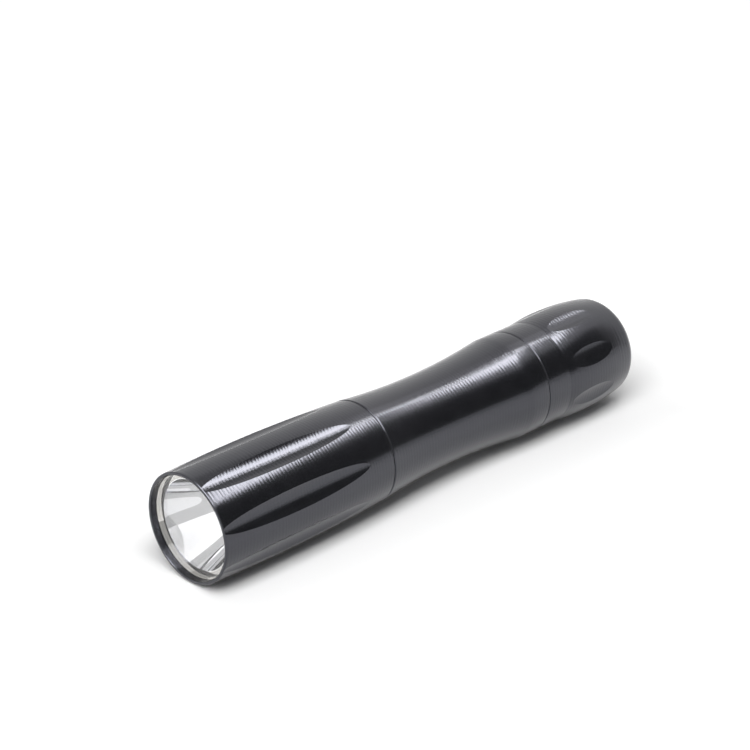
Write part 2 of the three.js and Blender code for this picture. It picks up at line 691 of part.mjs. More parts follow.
// Tail group
piece('tail_cap', tailCap(), 0x15161a, 0.25, 0.9);
piece('switch_retaining_ring', retainingRing(), 0xb9bcc0, 0.4, 1);
piece('switch_ground_ring', ring(
  switchBoardRadius - GROUND_RING_WIDTH,
  switchBoardRadius,
  groundRingFront,
  groundRingFront + GROUND_RING_THICKNESS,
), 0xc8a13c, 0.35, 1);
piece('switch_board', switchBoard(), 0x1f5a35, 0.5, 0);
piece('tail_contact_spring', wound(
  'tail_contact_spring',
  TAIL_SPRING_WIRE,
  TAIL_SPRING_TURNS,
  at(TAIL_SPRING_TIP_RADIUS, cellRear + SEAT_GAP + TAIL_SPRING_WIRE),
  at(TAIL_SPRING_BASE_RADIUS, switchBoardFront - SEAT_GAP - TAIL_SPRING_WIRE),
), 0xc9cbcd, 0.3, 1);
piece('switch_terminal_live', terminal(1), 0xc8a13c, 0.35, 1);
piece('switch_terminal_ground', terminal(-1), 0xc8a13c, 0.35, 1);
piece('switch_housing', switchHousing(), 0x26272a, 0.5, 0);
piece('switch_return_spring', wound(
  'switch_return_spring',
  RETURN_SPRING_WIRE,
  RETURN_SPRING_TURNS,
  at(RETURN_SPRING_RADIUS, wellFloor + SEAT_GAP + RETURN_SPRING_WIRE),
  at(RETURN_SPRING_RADIUS, plungerFront - SEAT_GAP - RETURN_SPRING_WIRE),
), 0xc9cbcd, 0.3, 1);
piece('switch_plunger', switchPlunger(), 0xe6e3da, 0.5, 0);
piece('boot_washer', ring(
  BUTTON_HOLE_RADIUS,
  CHAMBER_RADIUS - SLIDE_GAP,
  washerFront,
  washerFront + WASHER_THICKNESS,
), 0x26272a, 0.6, 0);
piece('switch_boot', switchBoot(), 0x1b1b1c, 0.75, 0);

// The part stands on the ground plane with its middle over the origin
flashlight.updateMatrixWorld(true);
const extent = new THREE.Box3().setFromObject(flashlight, true);
flashlight.position.set(-(extent.min.x + extent.max.x) / 2, 0, -extent.min.z);

export default flashlight;
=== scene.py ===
"""The looks of a slim single-cell flashlight: fluted head, waisted body and fluted tail cap."""

import json
import math

import bmesh
import bpy
from mathutils import Matrix, Vector

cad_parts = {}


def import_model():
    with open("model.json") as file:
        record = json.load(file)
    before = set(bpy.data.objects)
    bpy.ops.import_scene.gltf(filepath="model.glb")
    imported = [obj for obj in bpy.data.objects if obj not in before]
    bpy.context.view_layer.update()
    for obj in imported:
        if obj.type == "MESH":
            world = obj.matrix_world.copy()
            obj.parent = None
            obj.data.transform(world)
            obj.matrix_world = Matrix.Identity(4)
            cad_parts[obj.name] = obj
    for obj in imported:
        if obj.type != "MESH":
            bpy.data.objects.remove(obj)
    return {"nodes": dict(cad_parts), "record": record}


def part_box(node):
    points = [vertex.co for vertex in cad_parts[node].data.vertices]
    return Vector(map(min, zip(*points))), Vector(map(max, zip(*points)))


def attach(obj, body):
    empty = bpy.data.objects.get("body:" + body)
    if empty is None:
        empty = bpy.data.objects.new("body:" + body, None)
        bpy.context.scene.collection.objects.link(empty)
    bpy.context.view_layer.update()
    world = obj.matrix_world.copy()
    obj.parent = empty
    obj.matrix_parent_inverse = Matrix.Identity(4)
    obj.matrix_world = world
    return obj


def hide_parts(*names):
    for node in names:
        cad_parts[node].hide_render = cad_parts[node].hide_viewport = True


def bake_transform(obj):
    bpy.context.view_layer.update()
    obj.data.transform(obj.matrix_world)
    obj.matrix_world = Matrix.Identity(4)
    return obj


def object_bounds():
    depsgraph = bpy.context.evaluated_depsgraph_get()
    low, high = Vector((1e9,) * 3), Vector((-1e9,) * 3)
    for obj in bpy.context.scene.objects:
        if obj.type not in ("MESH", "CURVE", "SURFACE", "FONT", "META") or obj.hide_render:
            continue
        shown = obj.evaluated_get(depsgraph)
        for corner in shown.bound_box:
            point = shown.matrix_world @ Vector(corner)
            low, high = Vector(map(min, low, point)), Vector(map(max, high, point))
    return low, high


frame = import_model()
cad_low, cad_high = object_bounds()

MM = 0.001

# The axis runs along X, from the front lip to the tail face
FRONT = cad_low.x
TAIL = cad_high.x
AXIS_Z = (cad_low.z + cad_high.z) / 2

# Columns round a turned piece, a small turned piece, and one flute and one ridge of a fluted shell
COLUMNS = 160
SMALL_COLUMNS = 72
FLUTE_COLUMNS = 14
RIDGE_COLUMNS = 14

# Edges sharper than this stay crisp where a piece is shaded smooth
CREASE = math.radians(24)
FLAT_CREASE = math.radians(4)
FLUTE_CREASE = math.radians(7)

# Rounds on edges, their steps, and the most of a short side that one may take
SOFT_EDGE = 0.12 * MM
SEAM_EDGE = 0.2 * MM
EDGE_STEPS = 14
CORNER_SHARE = 0.45

# Points nearer than this are one point
WELD = 0.0001 * MM

# Head shell
HEAD_FRONT_RADIUS = 10.53 * MM
LIP_EDGE = 0.25 * MM
LIP_CHAMFER = 0.1 * MM
LIP_WALL = 0.63 * MM
HEAD_CROWN = 0.507 * MM
NECK_ROOM = 0.1 * MM
PILL_LEDGE = 1.5 * MM
HEAD_ROWS = 110

# Body tube
THREAD_BORE = 9.0 * MM
SPIGOT_RADIUS = 8.8 * MM
REAR_WALL = 1.1 * MM
WAIST_RADIUS = 9.11 * MM
CELL_BORE = 7.45 * MM
BAND_LENGTH = 4.3 * MM
FRONT_SPIGOT = 9.7 * MM
REAR_SPIGOT = 7.5 * MM
GROOVE_SETBACK = 1.2 * MM
GROOVE_WIDTH = 1.2 * MM
GROOVE_DEPTH = 0.7 * MM
SPIGOT_CHAMFER = 0.4 * MM
WAIST_ROWS = 96

# Screw thread on the spigots, with the shares of its section in pitches and heights
THREAD_PITCH = 1.0 * MM
THREAD_HEIGHT = 0.5 * MM
THREAD_ROOM = 0.1 * MM
THREAD_COLLAR = 0.35 * MM
THREAD_STEPS = 96
CREST_SHARE = 0.08
ROOT_SHARE = 0.47
SUNK_SHARE = 0.3

# Tail cap
CAP_BAND = 5.9 * MM
BULB_CROWN = 0.717 * MM
TAIL_EDGE = 2.65 * MM
TAIL_EDGE_START = math.radians(10)
TAIL_FACE_RADIUS = 7.3 * MM
BUTTON_HOLE = 5.35 * MM
DISH_WIDTH = 1.05 * MM
DISH_DEPTH = 1.4 * MM
DISH_BULGE = 0.23 * MM
END_WALL = 4.0 * MM
CHAMBER_RADIUS = 7.6 * MM
BULB_ROWS = 72
TAIL_EDGE_ROWS = 20
DISH_ROWS = 10

# Lens and reflector, which share the lip's bore
LIP_BORE = HEAD_FRONT_RADIUS - LIP_WALL
LENS_ROOM = 0.04 * MM
LENS_SETBACK = 0.3 * MM
MOUTH_RADIUS = 8.55 * MM
FOCAL_LENGTH = 1.43 * MM
NECK_WALL = 0.25 * MM
BOWL_WALL = 1.0 * MM
FLANGE_THICKNESS = 1.0 * MM
BASE_HOLE = 2.6 * MM
BOWL_ROWS = 48

# Light source
PACKAGE_EDGE = 0.08 * MM
DOME_ROWS = 16
PHOSPHOR_SIDE = 1.5 * MM
PHOSPHOR_THICKNESS = 0.15 * MM
PHOSPHOR_ROOM = 0.01 * MM

# Switch boot and springs
BOOT_FLANGE = 1.0 * MM
BOOT_WALL = 1.1 * MM
BOOT_CROWN = 0.9 * MM
BOOT_EDGE = 0.4 * MM
BOOT_BOSS = 1.8 * MM
BUTTON_ROOM = 0.2 * MM
PLUNGER_ROOM = 0.05 * MM
BOOT_ROWS = 24
RIM_STEPS = 6
TAIL_COIL = {"Wire": 0.4 * MM, "Turns": 6, "Start radius": 3.0 * MM, "End radius": 5.0 * MM}
RETURN_COIL = {"Wire": 0.18 * MM, "Turns": 3, "Start radius": 1.5 * MM, "End radius": 1.5 * MM}
FLAT_TURNS = 0.5
COIL_STEPS = 40
WIRE_SIDES = 12

# Leaf-shaped flutes: how many, the first one's angle, the radius of the barrel-shaped cutter, its
# lengthwise swell, how deep it bites and where along the shell, in degrees and millimetres
HEAD_FLUTES = {"count": 8, "first": 26, "cutter": 5.1, "swell": 543, "depth": 0.652, "middle": 18.7}
TAIL_FLUTES = {"count": 8, "first": 16.5, "cutter": 9.5, "swell": 193, "depth": 0.4, "middle": 4.6}

# Noise: the part of its range that a roughness and a tint run over, how far it bends the feed lines,
# in radians, and how much of it clouds the mirror
ROUGHNESS_NOISE = (0.3, 0.7)
TINT_NOISE = (0.35, 0.65)
FEED_WANDER = 9.0
MIRROR_CLOUD = 0.3

# Camera
CAMERA_PLACE = (-0.29494, -0.29426, 0.2258)
CAMERA_HEADING = 44.22
CAMERA_TILT = 26.05
CAMERA_LENS = 120.0
CAMERA_NEAR = 0.01
SENSOR_WIDTH = 36.0

# Floor: where its white begins and is full, away from the object, and what that adds to the lit floor
FLOOR_HALF = 3.0
FLOOR_GREY = 0.9
FLOOR_ROUGHNESS = 0.9
SHADOW_REACH = 13 * MM
WHITE_REACH = 40 * MM
FLOOR_WHITE = 0.22

# Light: a soft panel, and a sky that is white where it is seen and softer where it lights
PANEL_PLACE = (-0.6, -0.42, 1.0)
PANEL_SIZE = (0.56, 1.6)
PANEL_POWER = 20.0
SKY_SEEN = 1.0
SKY_LIGHT = 0.35

# Walls that the gloss shows, by brightness
DARK_WALL = 0.08
GREY_WALL = 0.62

# Cards close over the object, by brightness, lift over the lowest and outline: the wedge draws the
# streak, the skirt its faint side and the gap its dark side, and the last one lights the seams' edges
CARD_HEIGHT = 0.2
CARD_LIFT = 0.5 * MM
OVERHEAD_CARDS = {
    "bright_wedge": (14.3, 0.0, [
        (0.205, 0.023), (0.176, 0.028), (0.152, -0.012), (0.126, -0.016), (0.118, 0.018),
        (0.099, 0.02), (0.096, -0.021), (0.055, -0.03), (0.055, -0.16), (0.1, -0.112),
        (0.14, -0.064), (0.158, -0.047), (0.172, -0.007), (0.182, 0.004), (0.205, 0.001)]),
    "soft_skirt": (1.5, CARD_LIFT, [
        (0.27, 0.035), (0.206, 0.03), (0.174, 0.029), (0.16, 0.07), (0.27, 0.12)]),
    "dark_gap": (0.5, CARD_LIFT, [(0.055, -0.028), (0.125, -0.012), (0.125, 0.1), (0.055, 0.14)]),
    "edge_glint": (13.0, 0.0, [(-0.05, 0.05), (-0.05, -0.14), (-0.3, -0.14), (-0.3, 0.05)]),
}


def reach(node):
    """Front, rear and radius of a turned node, from its box."""
    low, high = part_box(node)
    return low.x, high.x, (high.z - low.z) / 2


# Profiles: lists of (x, radius) points

def arc(start, end, rise, steps):
    """A circular arc from start to end, bowed to the left of its run by a rise, without the start."""
    (x0, r0), (x1, r1) = start, end
    half = math.hypot(x1 - x0, r1 - r0) / 2
    radius = (half ** 2 + rise ** 2) / (2 * abs(rise))
    back = (rise - math.copysign(radius, rise)) / (2 * half)
    centre_x = (x0 + x1) / 2 - (r1 - r0) * back
    centre_r = (r0 + r1) / 2 + (x1 - x0) * back
    begin = math.atan2(r0 - centre_r, x0 - centre_x)
    sweep = math.atan2(r1 - centre_r, x1 - centre_x) - begin
    sweep = math.atan2(math.sin(sweep), math.cos(sweep))
    angles = [begin + sweep * (i + 1) / steps for i in range(steps)]
    return [(centre_x + radius * math.cos(a), centre_r + radius * math.sin(a)) for a in angles]


def rounded(start, end):
    """A quarter round over an outer edge, from start to end, without the start."""
    return arc(start, end, abs(end[0] - start[0]) * (1 - math.sqrt(0.5)), EDGE_STEPS)


def softened(profile, radius, steps=3):
    """The profile with each corner off the axis rounded by about a radius, or less on short sides."""
    points = []
    for i, (x, r) in enumerate(profile):
        corner = Vector((x, r))
        before = Vector(profile[i - 1]) - corner
        after = Vector(profile[(i + 1) % len(profile)]) - corner
        if r == 0 or min(before.length, after.length) == 0:
            points.append((x, r))
            continue
        cut = min(radius, CORNER_SHARE * before.length, CORNER_SHARE * after.length)
        first = corner + before.normalized() * cut
        last = corner + after.normalized() * cut
        for k in range(steps + 1):
            t = k / steps
            points.append(tuple(first * (1 - t) ** 2 + corner * 2 * t * (1 - t) + last * t ** 2))
    return points


def round_section(x, radius, section, steps=24):
    """A full circle of a section, for a round rubber ring."""
    angles = [2 * math.pi * i / steps for i in range(steps)]
    return [(x + section * math.cos(a), radius + section * math.sin(a)) for a in angles]


# Meshes

def place(x, radius, angle):
    """A point at an angle from straight up, turning towards -Y."""
    return (x, -radius * math.sin(angle), AXIS_Z + radius * math.cos(angle))


def linked(name, mesh=None):
    """An object in the scene, with a mesh or an empty one of its own."""
    if mesh is None:
        mesh = bpy.data.meshes.new(name)
    piece = bpy.data.objects.new(name, mesh)
    bpy.context.scene.collection.objects.link(piece)
    return piece


def blank(name, profile, columns):
    """The profile turned about the axis as an object, row by row, with nothing merged."""
    angles = [2 * math.pi * c / columns for c in range(columns)]
    points = [place(x, r, a) for x, r in profile for a in angles]
    on_axis = profile[0][1] == 0 and profile[-1][1] == 0
    rows = len(profile) - 1 if on_axis else len(profile)
    faces = []
    for row in range(rows):
        here = row * columns
        following = (row + 1) % len(profile) * columns
        for c in range(columns):
            beside = (c + 1) % columns
            faces.append((here + c, here + beside, following + beside, following + c))
    mesh = bpy.data.meshes.new(name)
    mesh.from_pydata(points, [], faces)
    return linked(name, mesh)


def close_up(mesh, crease):
    """Merged doubles, faces outward, smooth shading with crisp creases."""
    work = bmesh.new()
    work.from_mesh(mesh)
    bmesh.ops.remove_doubles(work, verts=work.verts, dist=WELD)
    bmesh.ops.recalc_face_normals(work, faces=work.faces)
    work.to_mesh(mesh)
    work.free()
    mesh.shade_smooth()
    mesh.set_sharp_from_angle(angle=crease)


def turned(name, profile, finish, columns=COLUMNS, crease=CREASE):
    """A closed profile turned about the axis."""
    piece = blank(name, profile, columns)
    close_up(piece.data, crease)
    piece.data.materials.append(finish)
    return piece


def dressed(piece, body, slot, *nodes):
    """The piece rides on a body and stands for the nodes it replaces; the slot is not used."""
    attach(piece, body)
    if nodes:
        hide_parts(*nodes)


def sprung(piece, node):
    """The piece takes the place of its node, with its placement baked into its mesh."""
    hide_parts(node)
    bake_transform(piece)


# Node trees

class Nodes:
    """A node tree under construction, with short calls for adding and linking nodes."""

    def __init__(self, tree):
        self.tree = tree

    def add(self, kind, inputs=None, **settings):
        node = self.tree.nodes.new(kind)
        for key, value in settings.items():
            setattr(node, key, value)
        for key, value in (inputs or {}).items():
            if isinstance(value, bpy.types.NodeSocket):
                self.tree.links.new(value, node.inputs[key])
            else:
                node.inputs[key].default_value = value
        return node

    def math(self, operation, first, second=0.0):
        return self.add("ShaderNodeMath", {0: first, 1: second}, operation=operation).outputs[0]

    def within(self, value, low, high):
        return self.math("MINIMUM", self.math("MAXIMUM", value, low), high)


class Shaping(Nodes):
    """A geometry tree with named inputs, ending in realized instances and a finish."""

    def __init__(self, name, sizes, takes_geometry):
        super().__init__(bpy.data.node_groups.new(name, "GeometryNodeTree"))
        sockets = self.tree.interface
        sockets.new_socket("Geometry", in_out="OUTPUT", socket_type="NodeSocketGeometry")
        if takes_geometry:
            sockets.new_socket("Geometry", in_out="INPUT", socket_type="NodeSocketGeometry")
        for size in sizes:
            sockets.new_socket(size, in_out="INPUT", socket_type="NodeSocketFloat")
        sockets.new_socket("Finish", in_out="INPUT", socket_type="NodeSocketMaterial")
        self.given = self.add("NodeGroupInput").outputs

    def end(self, geometry):
        real = self.add("GeometryNodeRealizeInstances", {"Geometry": geometry})
        inputs = {"Geometry": real.outputs[0], "Material": self.given["Finish"]}
        finished = self.add("GeometryNodeSetMaterial", inputs)
        self.add("NodeGroupOutput", {"Geometry": finished.outputs[0]})
        return self.tree


def shaped(piece, tree, sizes, crease):
    """The piece after the tree has worked on it, as a plain mesh."""
    modifier = piece.modifiers.new(tree.name, "NODES")
    modifier.node_group = tree
    for item in tree.interface.items_tree:
        if item.in_out == "INPUT" and item.name in sizes:
            modifier[item.identifier] = sizes[item.name]
    seen = piece.evaluated_get(bpy.context.evaluated_depsgraph_get())
    mesh = bpy.data.meshes.new_from_object(seen)
    mesh.name = piece.name
    piece.modifiers.clear()
    piece.data = mesh
    close_up(mesh, crease)
    return piece


def flute_tree():
    """Spreads a blank's columns over flutes and ridges, and sinks each flute to its cutter's path."""
    sizes = ["Flutes", "First angle", "Cutter", "Offset", "Swell", "Middle", "Axis height", "Flute share"]
    nodes = Shaping("leaf_flutes", sizes, True)
    given, calc = nodes.given, nodes.math
    spot = nodes.add("ShaderNodeSeparateXYZ", {0: nodes.add("GeometryNodeInputPosition").outputs[0]})
    x, y = spot.outputs["X"], spot.outputs["Y"]
    z = calc("SUBTRACT", spot.outputs["Z"], given["Axis height"])
    radius = calc("SQRT", calc("ADD", calc("MULTIPLY", y, y), calc("MULTIPLY", z, z)))
    turn = nodes.add("GeometryNodeInputNamedAttribute", {"Name": "turn"}, data_type="FLOAT").outputs[0]
    sector, part = calc("FLOOR", turn), calc("FRACT", turn)
    pitch = calc("DIVIDE", 2 * math.pi, given["Flutes"])

    # The cutter's radius at this station, and half the angle that it opens at this radius
    along = calc("SUBTRACT", x, given["Middle"])
    loss = calc("DIVIDE", calc("MULTIPLY", along, along), calc("MULTIPLY", given["Swell"], 2.0))
    cutter = calc("SUBTRACT", given["Cutter"], loss)
    offset = given["Offset"]
    cutter_square = calc("MULTIPLY", cutter, cutter)
    squares = calc("ADD", calc("MULTIPLY", radius, radius), calc("MULTIPLY", offset, offset))
    twice = calc("MULTIPLY", calc("MULTIPLY", radius, offset), 2.0)
    cosine = calc("DIVIDE", calc("SUBTRACT", squares, cutter_square), twice)
    opening = calc("ARCCOSINE", nodes.within(cosine, -1.0, 1.0))

    # Columns in the flute run from one edge to the other, and the rest share the ridge
    share = given["Flute share"]
    across = calc("SUBTRACT", calc("MULTIPLY", calc("DIVIDE", part, share), 2.0), 1.0)
    swing = calc("MULTIPLY", nodes.within(across, -1.0, 1.0), opening)
    beyond = calc("DIVIDE", calc("SUBTRACT", part, share), calc("SUBTRACT", 1.0, share))
    ridge = calc("SUBTRACT", pitch, calc("MULTIPLY", opening, 2.0))
    turned_by = calc("ADD", swing, calc("MULTIPLY", nodes.within(beyond, 0.0, 1.0), ridge))
    centre = calc("ADD", given["First angle"], calc("MULTIPLY", sector, pitch))
    angle = calc("ADD", centre, turned_by)

    # The cutter's path seen from the axis
    side = calc("MULTIPLY", offset, calc("SINE", swing))
    room = calc("MAXIMUM", calc("SUBTRACT", cutter_square, calc("MULTIPLY", side, side)), 0.0)
    path = calc("SUBTRACT", calc("MULTIPLY", offset, calc("COSINE", swing)), calc("SQRT", room))
    sunk = calc("MINIMUM", radius, path)
    new_y = calc("MULTIPLY", calc("MULTIPLY", sunk, calc("SINE", angle)), -1.0)
    new_z = calc("ADD", calc("MULTIPLY", sunk, calc("COSINE", angle)), given["Axis height"])
    spot = nodes.add("ShaderNodeCombineXYZ", {"X": x, "Y": new_y, "Z": new_z})
    moved = nodes.add("GeometryNodeSetPosition", {"Geometry": given["Geometry"], "Position": spot.outputs[0]})
    return nodes.end(moved.outputs[0])


def thread_tree():
    """A pointed ridge wound round the axis, sinking into its core at both ends."""
    sizes = ["Pitch", "Turns", "Root", "Height", "Start", "Axis height", "Steps"]
    nodes = Shaping("screw_thread", sizes, False)
    given, calc = nodes.given, nodes.math
    length = calc("MULTIPLY", given["Pitch"], given["Turns"])
    helix = nodes.add("GeometryNodeCurveSpiral", {
        "Resolution": given["Steps"],
        "Rotations": given["Turns"],
        "Start Radius": given["Root"],
        "End Radius": given["Root"],
        "Height": length,
    })
    helix = nodes.add("GeometryNodeSetCurveNormal", {"Curve": helix.outputs[0]}, mode="Z_UP").outputs[0]
    factor = nodes.add("GeometryNodeSplineParameter").outputs["Factor"]
    nearest_end = calc("MINIMUM", factor, calc("SUBTRACT", 1.0, factor))
    rising = nodes.within(calc("MULTIPLY", nearest_end, given["Turns"]), 0.0, 1.0)
    sink = calc("MULTIPLY", calc("SUBTRACT", 1.0, rising), given["Height"])
    scale = calc("SUBTRACT", 1.0, calc("DIVIDE", sink, given["Root"]))
    spot = nodes.add("ShaderNodeSeparateXYZ", {0: nodes.add("GeometryNodeInputPosition").outputs[0]})
    spot = nodes.add("ShaderNodeCombineXYZ", {
        "X": calc("MULTIPLY", spot.outputs["X"], scale),
        "Y": calc("MULTIPLY", spot.outputs["Y"], scale),
        "Z": spot.outputs["Z"],
    })
    helix = nodes.add("GeometryNodeSetPosition", {"Geometry": helix, "Position": spot.outputs[0]}).outputs[0]

    # The ridge's section: a sunk root, two flanks and a narrow crest
    crest = calc("MULTIPLY", given["Pitch"], CREST_SHARE)
    root = calc("MULTIPLY", given["Pitch"], ROOT_SHARE)
    below = calc("MULTIPLY", given["Height"], -SUNK_SHARE)
    corners = [(below, root), (given["Height"], crest), (given["Height"], crest), (below, root)]
    sides = [-1.0, -1.0, 1.0, 1.0]
    points = {}
    for i, ((out, half), side) in enumerate(zip(corners, sides)):
        corner = nodes.add("ShaderNodeCombineXYZ", {"X": out, "Y": calc("MULTIPLY", half, side)})
        points[f"Point {i + 1}"] = corner.outputs[0]
    section = nodes.add("GeometryNodeCurvePrimitiveQuadrilateral", points, mode="POINTS")
    swept = nodes.add("GeometryNodeCurveToMesh", {
        "Curve": helix,
        "Profile Curve": section.outputs[0],
        "Fill Caps": True,
    })
    middle = nodes.add("ShaderNodeCombineXYZ", {"X": given["Start"], "Z": given["Axis height"]})
    laid = nodes.add("GeometryNodeTransform", {
        "Geometry": swept.outputs[0],
        "Translation": middle.outputs[0],
        "Rotation": (0, math.pi / 2, 0),
    })
    return nodes.end(laid.outputs[0])


def spring_tree():
    """A round wire wound from one radius to another, with its end turns laid flat."""
    sizes = ["Wire", "Turns", "Start radius", "End radius", "Length", "Flat turns", "Start", "Axis height"]
    nodes = Shaping("wound_wire", sizes, False)
    given, calc = nodes.given, nodes.math
    helix = nodes.add("GeometryNodeCurveSpiral", {
        "Resolution": COIL_STEPS,
        "Rotations": given["Turns"],
        "Start Radius": given["Start radius"],
        "End Radius": given["End radius"],
        "Height": given["Length"],
    })
    helix = nodes.add("GeometryNodeSetCurveNormal", {"Curve": helix.outputs[0]}, mode="Z_UP").outputs[0]
    factor = nodes.add("GeometryNodeSplineParameter").outputs["Factor"]
    wound = calc("SUBTRACT", calc("MULTIPLY", factor, given["Turns"]), given["Flat turns"])
    free = calc("SUBTRACT", given["Turns"], calc("MULTIPLY", given["Flat turns"], 2.0))
    rise = nodes.within(calc("DIVIDE", wound, free), 0.0, 1.0)
    spot = nodes.add("ShaderNodeSeparateXYZ", {0: nodes.add("GeometryNodeInputPosition").outputs[0]})
    spot = nodes.add("ShaderNodeCombineXYZ", {
        "X": spot.outputs["X"],
        "Y": spot.outputs["Y"],
        "Z": calc("MULTIPLY", rise, given["Length"]),
    })
    helix = nodes.add("GeometryNodeSetPosition", {"Geometry": helix, "Position": spot.outputs[0]}).outputs[0]
    inputs = {"Resolution": WIRE_SIDES, "Radius": given["Wire"]}
    section = nodes.add("GeometryNodeCurvePrimitiveCircle", inputs)
    swept = nodes.add("GeometryNodeCurveToMesh", {
        "Curve": helix,
        "Profile Curve": section.outputs[0],
        "Fill Caps": True,
    })
    middle = nodes.add("ShaderNodeCombineXYZ", {"X": given["Start"], "Z": given["Axis height"]})
    laid = nodes.add("GeometryNodeTransform", {
        "Geometry": swept.outputs[0],
        "Translation": middle.outputs[0],
        "Rotation": (0, math.pi / 2, 0),
    })
    return nodes.end(laid.outputs[0])


# Finishes

class Finish(Nodes):
    """A material under construction: one principled shader and what feeds it."""

    def __init__(self, name, **constants):
        self.material = bpy.data.materials.new(name)
        self.material.use_nodes = True
        super().__init__(self.material.node_tree)
        self.shader = self.tree.nodes["Principled BSDF"]
        for socket, value in constants.items():
            self.shader.inputs[socket.replace("_", " ")].default_value = value
        self.spot = self.add("ShaderNodeTexCoord").outputs["Object"]

    def speckle(self, size, detail=3.0):
        """Even cloudy noise with spots of a size."""
        inputs = {"Vector": self.spot, "Scale": 1 / size, "Detail": detail}
        return self.add("ShaderNodeTexNoise", inputs).outputs[0]

    def tool_lines(self, spacing, detail=2.0):
        """Lines round the axis as a lathe tool leaves them, some stronger than others."""
        along = self.add("ShaderNodeSeparateXYZ", {0: self.spot}).outputs["X"]
        inputs = {"W": along, "Scale": 1 / spacing, "Detail": detail}
        return self.add("ShaderNodeTexNoise", inputs, noise_dimensions="1D").outputs[0]

    def feed_lines(self, pitch):
        """Even lines round the axis at the lathe's feed, whose pitch and depth wander a little."""
        along = self.add("ShaderNodeSeparateXYZ", {0: self.spot}).outputs["X"]
        wander = self.math("MULTIPLY", self.tool_lines(5 * pitch), FEED_WANDER)
        phase = self.math("ADD", self.math("MULTIPLY", along, math.tau / pitch), wander)
        depth = self.tool_lines(2 * pitch, 1.0)
        return self.math("ADD", self.math("MULTIPLY", self.math("SINE", phase), depth), 0.5)

    def spread(self, value, low, high):
        """The middle of a noise's range stretched from low to high."""
        start, end = ROUGHNESS_NOISE
        inputs = {"Value": value, "From Min": start, "From Max": end, "To Min": low, "To Max": high}
        return self.add("ShaderNodeMapRange", inputs).outputs[0]

    def tint(self, value, dark, light):
        """A base colour that runs from dark to light over the middle of a noise's range."""
        ramp = self.add("ShaderNodeValToRGB", {"Fac": value})
        for stop, position, colour in zip(ramp.color_ramp.elements, TINT_NOISE, (dark, light)):
            stop.position = position
            stop.color = (*colour, 1)
        self.feed("Base Color", ramp.outputs["Color"])

    def bump(self, height, depth):
        inputs = {"Height": height, "Distance": depth, "Strength": 1.0}
        self.feed("Normal", self.add("ShaderNodeBump", inputs).outputs[0])

    def round_grain(self):
        """Gloss that follows the turning lines round the axis."""
        tangent = self.add("ShaderNodeTangent", direction_type="RADIAL", axis="X")
        self.feed("Tangent", tangent.outputs[0])

    def feed(self, socket, value):
        self.tree.links.new(value, self.shader.inputs[socket])


def black_anodised():
    gloss = {"Specular_IOR_Level": 0.77, "Specular_Tint": (0.87, 0.878, 1.0, 1.0)}
    finish = Finish("black_anodised", Anisotropic=0.4, Anisotropic_Rotation=0.25, **gloss)
    lines = finish.feed_lines(0.72 * MM)
    finish.tint(finish.speckle(3 * MM), (0.0045, 0.0048, 0.0056), (0.0065, 0.0068, 0.0078))
    finish.feed("Roughness", finish.spread(lines, 0.175, 0.2))
    finish.bump(lines, 0.0085 * MM)
    finish.round_grain()
    return finish.material


def clear_lens():
    finish = Finish("clear_lens", Transmission_Weight=1.0, IOR=1.49, Specular_IOR_Level=0.15)
    finish.tint(finish.speckle(6 * MM), (0.985, 0.99, 0.99), (0.995, 0.995, 0.995))
    finish.feed("Roughness", finish.spread(finish.speckle(2 * MM), 0.0, 0.012))
    return finish.material


def clear_dome():
    finish = Finish("clear_dome", Transmission_Weight=1.0, IOR=1.41)
    finish.tint(finish.speckle(1 * MM), (0.95, 0.94, 0.9), (0.98, 0.97, 0.94))
    finish.feed("Roughness", finish.spread(finish.speckle(0.5 * MM), 0.02, 0.06))
    return finish.material


def mirror_coat():
    """A bright mirror in the bowl, and a darker tint on the flange round its mouth."""
    finish = Finish("mirror_coat", Metallic=1.0)
    spot = finish.add("ShaderNodeSeparateXYZ", {0: finish.spot}).outputs
    side, rise = spot["Y"], finish.math("SUBTRACT", spot["Z"], AXIS_Z)
    squares = finish.math("ADD", finish.math("MULTIPLY", side, side), finish.math("MULTIPLY", rise, rise))
    # Darker base colour beyond the mouth, on the flange
    flange = finish.add("ShaderNodeMapRange", {
        "Value": finish.math("SQRT", squares),
        "From Min": MOUTH_RADIUS,
        "From Max": MOUTH_RADIUS + NECK_WALL,
    }).outputs[0]
    cloud = finish.math("MULTIPLY", finish.speckle(1 * MM), MIRROR_CLOUD)
    finish.tint(finish.math("ADD", flange, cloud), (0.95, 0.95, 0.96), (0.56, 0.545, 0.52))
    finish.feed("Roughness", finish.spread(finish.speckle(1.5 * MM), 0.02, 0.05))
    finish.bump(finish.speckle(5 * MM, 1.0), 0.01 * MM)
    return finish.material


def black_rubber():
    finish = Finish("black_rubber", Specular_IOR_Level=0.4)
    grain = finish.speckle(0.12 * MM, 4.0)
    finish.tint(grain, (0.012, 0.012, 0.0125), (0.024, 0.024, 0.025))
    finish.feed("Roughness", finish.spread(grain, 0.55, 0.75))
    finish.bump(grain, 0.02 * MM)
    return finish.material


def moulded_plastic(name, dark, light, roughness):
    finish = Finish(name)
    grain = finish.speckle(0.3 * MM, 4.0)
    finish.tint(grain, dark, light)
    finish.feed("Roughness", finish.spread(grain, roughness - 0.06, roughness + 0.06))
    finish.bump(grain, 0.004 * MM)
    return finish.material


def turned_metal(name, dark, light, roughness):
    finish = Finish(name, Metallic=1.0, Anisotropic=0.4, Anisotropic_Rotation=0.25)
    lines = finish.tool_lines(0.2 * MM)
    finish.tint(finish.speckle(1.2 * MM), dark, light)
    finish.feed("Roughness", finish.spread(lines, roughness - 0.06, roughness + 0.08))
    finish.bump(lines, 0.003 * MM)
    finish.round_grain()
    return finish.material


